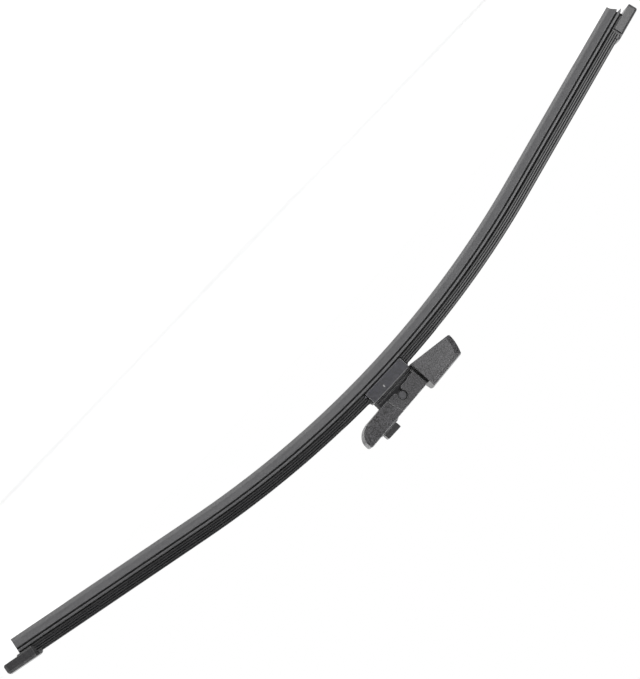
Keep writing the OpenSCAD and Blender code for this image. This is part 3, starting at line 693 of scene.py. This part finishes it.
@dataclass
class BladeStrip:
    """The rubber and the two halves of its cover, swept along the bow, with the rails inside.

    Heights run up from the lip and widths out from the middle, in millimetres. Corner radii stand beside
    their corners.

    Attributes:
        bow: the line that the strip follows.
        rubber_half, rubber_shift: half the rubber's length, and how far it sits towards -X.
        fin_l, web_past: how far the fin and the web run past the lip at the -X end.
        lip_h to head_top: heights and half widths of the rubber's section, from the lip up.
        top_z: height of the cover's roof.
        cover_half, cover_wall, claw_reach, cover_round: the cover's half width, its wall, the reach of its
            claws and the softness of its upper edge.
        groove_z to groove_pitch: height of the lowest groove, then the grooves' width, depths and spacing.
        cover_near: where the halves at -X and +X begin along the bow.
        cover_far: where both end.
        shade_reach: how far out from the neck the painted shade of its slits reaches.
        cover_shade: how deep the painted shade at the cover's claws is, 0 to 1.
        painted_highlight: how far the lip is lightened by a painted highlight, 0 to 1.
        rubber_stations, cover_stations: how many sections each piece has.
    """

    bow: Bow = field(default_factory=Bow)
    rubber_half: float = 200.0
    rubber_shift: float = 1.65
    fin_l: float = 2.2
    web_past: float = 0.75
    lip_h: float = 1.8
    lip_half: float = 0.4
    shoulder_z: float = 4.1
    shoulder_half: float = 2.6
    neck_z: float = 4.7
    neck_half: float = 0.55
    flange_z: float = 5.42
    flange_half: float = 2.9
    slot_z: float = 6.55
    web_half: float = 0.6
    claw_z: float = 7.2
    claw_t: float = 0.6
    head_half: float = 2.2
    head_z: float = 8.94
    head_top: float = 9.74
    top_z: float = 11.59
    cover_half: float = 4.6
    cover_wall: float = 0.75
    claw_reach: float = 0.95
    cover_round: float = 1.0
    groove_z: float = 8.07
    groove_w: float = 0.4
    groove_d: float = 0.5
    groove_low_d: float = 0.3
    groove_pitch: float = 1.02
    cover_near: tuple[float, float] = (11.55, 12.25)
    cover_far: float = 191.79
    shade_reach: float = 1.6
    cover_shade: float = 0.6
    painted_highlight: float = 0.5
    rubber_stations: int = 300
    cover_stations: int = 160

    def __post_init__(self) -> None:
        """Takes the cover's width from the CAD."""
        low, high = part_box("cover_right")
        self.cover_half = (high[1] - low[1]) / 2 / MM

    def rubber(self) -> bpy.types.Object:
        """The squeegee, its lip set back under a thin fin of the flange at the -X end."""
        corners, radii = mirrored([
            (self.lip_half, 0, 0.1),
            (self.lip_half, self.lip_h, 0.5),
            (self.shoulder_half, self.shoulder_z, 0.25),
            (self.shoulder_half, self.neck_z, 0.25),
            (self.neck_half, self.neck_z, 0.15),
            (self.neck_half, self.flange_z, 0.15),
            (self.flange_half, self.flange_z, 0.3),
            (self.flange_half, (self.flange_z + self.slot_z) / 2, 0.1),
            (self.flange_half, self.slot_z, 0.3),
            (self.web_half, self.slot_z, 0.15),
            (self.web_half, self.head_z, 0.1),
            (self.head_half, self.head_z, 0.15),
            (self.head_half, self.head_top, 0.15),
        ])
        outline = rounded(corners, radii)
        cut_z = [0, self.lip_h, self.shoulder_z - 0.9, self.shoulder_z + 0.2, self.flange_z - 0.1,
                 self.slot_z - 0.7, self.slot_z - 0.1]
        fin, past = self.fin_l, self.web_past
        cut_x = [fin, fin - 0.2, fin - past * 0.7, fin - past, fin - past / 2, 0, fin - past]
        start = np.interp(outline[:, 1], cut_z, cut_x) - self.rubber_half - self.rubber_shift - fin
        end = np.full(len(outline), self.rubber_half - self.rubber_shift)
        # Painted shade on the neck's slits and the parts above the shoulder, darkest at the middle.
        inside = 1 - np.clip((np.abs(outline[:, 0]) - self.neck_half) / self.shade_reach, 0, 1)
        painted_shade = np.where(outline[:, 1] > self.shoulder_z + 0.1, inside, 0)
        # Painted highlight on the lip, strongest at its edge.
        painted_highlight = self.painted_highlight * np.clip((self.lip_h + 0.1 - outline[:, 1]) / 0.6, 0, 1)
        return sweep("squeegee", self.bow, outline, start, end, self.rubber_stations, painted_shade, painted_highlight)

    def cover(self, side: int) -> bpy.types.Object:
        """One half of the cover: claws below the rails, three V grooves a side, rounded roof.

        Args:
            side: -1 for the half at -X, 1 for the half at +X.

        Returns:
            The piece.
        """
        wide, inner = self.cover_half, self.cover_half - self.cover_wall
        depths = (self.groove_low_d, self.groove_d, self.groove_d)
        grooves = []
        for i, deep in enumerate(depths):
            middle = self.groove_z + i * self.groove_pitch
            low, high = middle - self.groove_w / 2, middle + self.groove_w / 2
            grooves += [(wide, low, 0.06), (wide - deep, middle, 0.03), (wide, high, 0.06)]
        right = np.array([
            (inner - self.claw_reach, self.claw_z, 0.12),
            (wide, self.claw_z, 0.15),
            *grooves,
            (wide, self.top_z, self.cover_round),
        ], float)
        hollow = np.array([
            (self.head_half + 0.1, self.head_top + 0.1, 0.1),
            (self.head_half + 0.1, self.head_z, 0.1),
            (inner, self.head_z, 0.1),
            (inner, self.claw_z + self.claw_t, 0.1),
            (inner - self.claw_reach, self.claw_z + self.claw_t, 0.1),
        ], float)
        mirror = (-1, 1, 1)
        ring = np.vstack([right, right[::-1] * mirror, hollow[::-1] * mirror, hollow])
        outline = rounded(ring[:, :2], ring[:, 2])
        near = self.cover_near[0] if side < 0 else self.cover_near[1]
        first, last = sorted((side * near, side * self.cover_far))
        ones = np.ones(len(outline))
        # Painted shade on the cover's claws below the lowest groove.
        low = (self.groove_z - outline[:, 1]) / (self.groove_z - self.claw_z)
        painted_shade = self.cover_shade * np.clip(low, 0, 1)
        name = "cover_half_nose" if side > 0 else "cover_half_tail"
        return sweep(name, self.bow, outline, first * ones, last * ones, self.cover_stations, painted_shade,
                     0 * ones)

    def build(self, dresser: Dresser) -> None:
        """Builds the three swept pieces, dresses them and the rails.

        Args:
            dresser: gives the finishes.
        """
        for piece, node, finish in (
            (self.rubber(), "wiper_rubber", RUBBER),
            (self.cover(-1), "cover_left", COVER),
            (self.cover(1), "cover_right", COVER),
        ):
            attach(piece, "blade")
            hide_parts(node)
            dresser.dress(piece, finish)
        for node in ("rail_front", "rail_rear"):
            dresser.dress(frame["nodes"][node], SPRING)


@dataclass
class EndCaps:
    """The two moulded caps over the rail ends."""

    nodes: tuple[str, str] = ("end_cap_left", "end_cap_right")

    def build(self, dresser: Dresser) -> None:
        """Dresses both caps.

        Args:
            dresser: gives the finishes.
        """
        for node in self.nodes:
            dresser.dress(frame["nodes"][node], CAP)


@dataclass
class CentreClamp:
    """The painted clamp, the moulded base that stands in it and the pivot pin."""

    def build(self, dresser: Dresser) -> None:
        """Dresses the three pieces.

        Args:
            dresser: gives the finishes.
        """
        dresser.dress(frame["nodes"]["rail_clamp"], PAINTED)
        dresser.dress(frame["nodes"]["base"], BASE)
        dresser.dress(frame["nodes"]["pivot_pin"], PIN)


@dataclass
class ArmConnector:
    """The one-piece connector with its release button and leaf spring."""

    def build(self, dresser: Dresser) -> None:
        """Dresses the three pieces.

        Args:
            dresser: gives the finishes.
        """
        dresser.dress(frame["nodes"]["adapter"], CONNECTOR)
        dresser.dress(frame["nodes"]["release_button"], BUTTON)
        dresser.dress(frame["nodes"]["button_spring"], SPRING)


@dataclass(frozen=True)
class SoftBox:
    """A rectangular lamp that faces the blade's middle.

    Attributes:
        name: its name.
        place_m: where it stands.
        size_m: its two sides.
        power_w: its power.
    """

    name: str
    place_m: tuple[float, float, float]
    size_m: tuple[float, float]
    power_w: float


LAMPS = (
    SoftBox("side_box", (-0.62, -1.0, 0.05), (0.75, 0.7), 7.0),
    SoftBox("top_box", (-0.17, 0.2, 1.0), (0.68, 0.5), 9.0),
    SoftBox("fill_box", (0.9, -0.55, 0.15), (0.5, 0.8), 3.0),
    SoftBox("corner_box", (0.55, -0.34, 1.0), (0.34, 0.3), 2.0),
)


@dataclass
class Studio:
    """Camera, lamps, world and floor.

    Attributes:
        target_mm: the point that the picture's middle is measured from.
        side_deg, over_deg, roll_deg: turn about Z, tilt below the level and roll of the camera.
        distance_mm: distance from the target.
        centre_mm: how far the camera is moved right and up in its own plane.
        focal_px, frame_px, sensor_mm: focal length and picture size in pixels, and the sensor's long side.
        floor_half, floor_gap: half the floor's side and its gap below the swing, in metres.
        floor_grey: colour of the floor.
        glow_m, glow: distances from the middle between which the floor's glow grows, and its strengths.
        room_y: the band of the direction's Y across which the room turns from dim to white.
        room_dim, sky: strengths of the dim part and of the sky.
        lamp_aim: the point that the lamps face, in metres.
    """

    target_mm: tuple[float, float, float] = (7.6, 0.0, -44.0)
    side_deg: float = 10.0
    over_deg: float = 0.79
    roll_deg: float = 133.2
    distance_mm: float = 1050.0
    centre_mm: tuple[float, float] = (0.95, 0.52)
    focal_px: float = 2358.5
    frame_px: tuple[int, int] = (640, 679)
    floor_half: float = 3.0
    floor_gap: float = 0.0003
    floor_grey: float = 0.7
    glow_m: tuple[float, float] = (0.25, 1.8)
    glow: tuple[float, float] = (0.2, 0.8)
    room_y: tuple[float, float] = (-0.1, 0.6)
    room_dim: float = 0.1
    sky: float = 0.45
    sensor_mm: float = 36.0
    lamp_aim: tuple[float, float, float] = (0.0, 0.0, -0.03)

    def camera(self) -> None:
        """The camera on the near side, a little towards the nose, rolled so the blade climbs to the right.

        The look direction is turned by side_deg about Z and over_deg below the level, and the roll turns
        the picture about it. The focal length in pixels gives the lens for the sensor's long side.
        """
        phi, tilt, roll = (math.radians(a) for a in (self.side_deg, self.over_deg, self.roll_deg))
        look = Vector((-math.sin(phi) * math.cos(tilt), math.cos(phi) * math.cos(tilt), -math.sin(tilt)))
        level = look.cross(Vector((0, 0, 1))).normalized()
        rise = level.cross(look)
        right = math.cos(roll) * level + math.sin(roll) * rise
        up = -math.sin(roll) * level + math.cos(roll) * rise
        place = (
            Vector(self.target_mm) - look * self.distance_mm
            + right * self.centre_mm[0] + up * self.centre_mm[1]
        ) * MM
        data = bpy.data.cameras.new("camera")
        data.sensor_width = self.sensor_mm
        data.lens = self.focal_px * self.sensor_mm / max(self.frame_px)
        data.clip_start, data.clip_end = 0.01, 20.0
        cam = bpy.data.objects.new("camera", data)
        cam.matrix_world = Matrix.Translation(place) @ Matrix((right, up, -look)).transposed().to_4x4()
        bpy.context.scene.collection.objects.link(cam)
        bpy.context.scene.camera = cam

    def lamp(self, box: SoftBox) -> None:
        """Hangs one lamp.

        Args:
            box: the lamp.
        """
        data = bpy.data.lights.new(box.name, "AREA")
        data.shape = "RECTANGLE"
        data.size, data.size_y = box.size_m
        data.energy = box.power_w
        lamp = bpy.data.objects.new(box.name, data)
        lamp.location = box.place_m
        toward = Vector(self.lamp_aim) - Vector(box.place_m)
        lamp.rotation_euler = toward.to_track_quat("-Z", "Y").to_euler()
        bpy.context.scene.collection.objects.link(lamp)

    def world(self) -> None:
        """A white room behind the blade that falls off to a dim one in front.

        The camera sees plain white. Reflections see white behind the blade and the dim room in front, and
        other light comes evenly from a soft sky.
        """
        world = bpy.data.worlds.new("studio")
        bpy.context.scene.world = world
        world.use_nodes = True
        tree = world.node_tree
        tree.nodes.clear()
        link = tree.links.new
        out = add(tree, "ShaderNodeOutputWorld")
        path = add(tree, "ShaderNodeLightPath")
        coord = add(tree, "ShaderNodeTexCoord")
        parts = add(tree, "ShaderNodeSeparateXYZ")
        room = add(tree, "ShaderNodeMapRange", interpolation_type="SMOOTHSTEP",
                   From_Min=self.room_y[0], From_Max=self.room_y[1], To_Min=self.room_dim, To_Max=1.0)
        soft = add(tree, "ShaderNodeBackground", Strength=self.sky)
        seen = add(tree, "ShaderNodeBackground")
        white = add(tree, "ShaderNodeBackground", Strength=1.0)
        for back in (soft, seen, white):
            back.inputs["Color"].default_value = (1, 1, 1, 1)
        link(coord.outputs["Generated"], parts.inputs[0])
        link(parts.outputs["Y"], room.inputs["Value"])
        link(room.outputs["Result"], seen.inputs["Strength"])
        shiny = add(tree, "ShaderNodeMixShader")
        link(path.outputs["Is Glossy Ray"], shiny.inputs[0])
        link(soft.outputs[0], shiny.inputs[1])
        link(seen.outputs[0], shiny.inputs[2])
        clear = add(tree, "ShaderNodeMath", operation="MAXIMUM")
        link(path.outputs["Is Camera Ray"], clear.inputs[0])
        link(path.outputs["Is Transmission Ray"], clear.inputs[1])
        mix = add(tree, "ShaderNodeMixShader")
        link(clear.outputs[0], mix.inputs[0])
        link(shiny.outputs[0], mix.inputs[1])
        link(white.outputs[0], mix.inputs[2])
        link(mix.outputs[0], out.inputs["Surface"])

    @staticmethod
    def swing_low() -> float:
        """The lowest point that the blade reaches in its swing about the pin, in metres.

        A lower corner of the CAD box at (x, z) comes down to z cos(a) - |x| sin(a) at a swing of a.
        """
        joints = frame["record"]["behaviour"]["joints"]
        swing = next(j for j in joints if j["name"] == "blade_swivel")
        most = math.radians(max(abs(angle) for angle in swing["range_deg"]))
        low, reach = CAD_BOX[0][2], max(-CAD_BOX[0][0], CAD_BOX[1][0])
        return low * math.cos(most) - reach * math.sin(most)

    def floor(self) -> None:
        """A white floor that the blade clears at every pose and that keeps its soft shadow.

        What the camera sees gains a little glow far from the blade, where the lamps no longer reach.
        From below the floor can't be seen.
        """
        corners = np.array([[-1, -1, 0], [1, -1, 0], [1, 1, 0], [-1, 1, 0]], float) * self.floor_half
        corners[:, 2] = self.swing_low() - self.floor_gap
        mesh = bpy.data.meshes.new("floor")
        mesh.from_pydata(corners.tolist(), [], [(0, 1, 2, 3)])
        floor = bpy.data.objects.new("floor", mesh)
        mat = bpy.data.materials.new("white_paper")
        mat.use_nodes = True
        tree = mat.node_tree
        tree.nodes.clear()
        link = tree.links.new
        out = add(tree, "ShaderNodeOutputMaterial")
        paper = add(tree, "ShaderNodeBsdfPrincipled", Roughness=0.9)
        path = add(tree, "ShaderNodeLightPath")
        coord = add(tree, "ShaderNodeTexCoord")
        far = add(tree, "ShaderNodeVectorMath", operation="LENGTH")
        fade = add(tree, "ShaderNodeMapRange", interpolation_type="SMOOTHSTEP", From_Min=self.glow_m[0],
                   From_Max=self.glow_m[1], To_Min=self.glow[0], To_Max=self.glow[1])
        glow = add(tree, "ShaderNodeMath", operation="MULTIPLY")
        side = add(tree, "ShaderNodeNewGeometry")
        clear = add(tree, "ShaderNodeBsdfTransparent")
        both = add(tree, "ShaderNodeMixShader")
        paper.inputs["Base Color"].default_value = (*(self.floor_grey,) * 3, 1)
        paper.inputs["Emission Color"].default_value = (1, 1, 1, 1)
        link(coord.outputs["Object"], far.inputs[0])
        link(far.outputs["Value"], fade.inputs["Value"])
        link(path.outputs["Is Camera Ray"], glow.inputs[0])
        link(fade.outputs["Result"], glow.inputs[1])
        link(glow.outputs[0], paper.inputs["Emission Strength"])
        link(side.outputs["Backfacing"], both.inputs[0])
        link(paper.outputs["BSDF"], both.inputs[1])
        link(clear.outputs[0], both.inputs[2])
        link(both.outputs[0], out.inputs["Surface"])
        mesh.materials.append(mat)
        bpy.context.scene.collection.objects.link(floor)

    def build(self) -> None:
        """Sets up the whole studio."""
        self.camera()
        self.world()
        self.floor()
        for box in LAMPS:
            self.lamp(box)


def main() -> None:
    """Builds and dresses the sub-assemblies and sets up the studio."""
    logging.basicConfig(level=logging.INFO, format="%(name)s: %(message)s")
    bpy.context.scene.view_settings.view_transform = "Standard"
    dresser = Dresser(SurfaceGroups())
    for assembly in (BladeStrip(), EndCaps(), CentreClamp(), ArmConnector()):
        assembly.build(dresser)
    Studio().build()


if __name__ == "__main__":
    main()
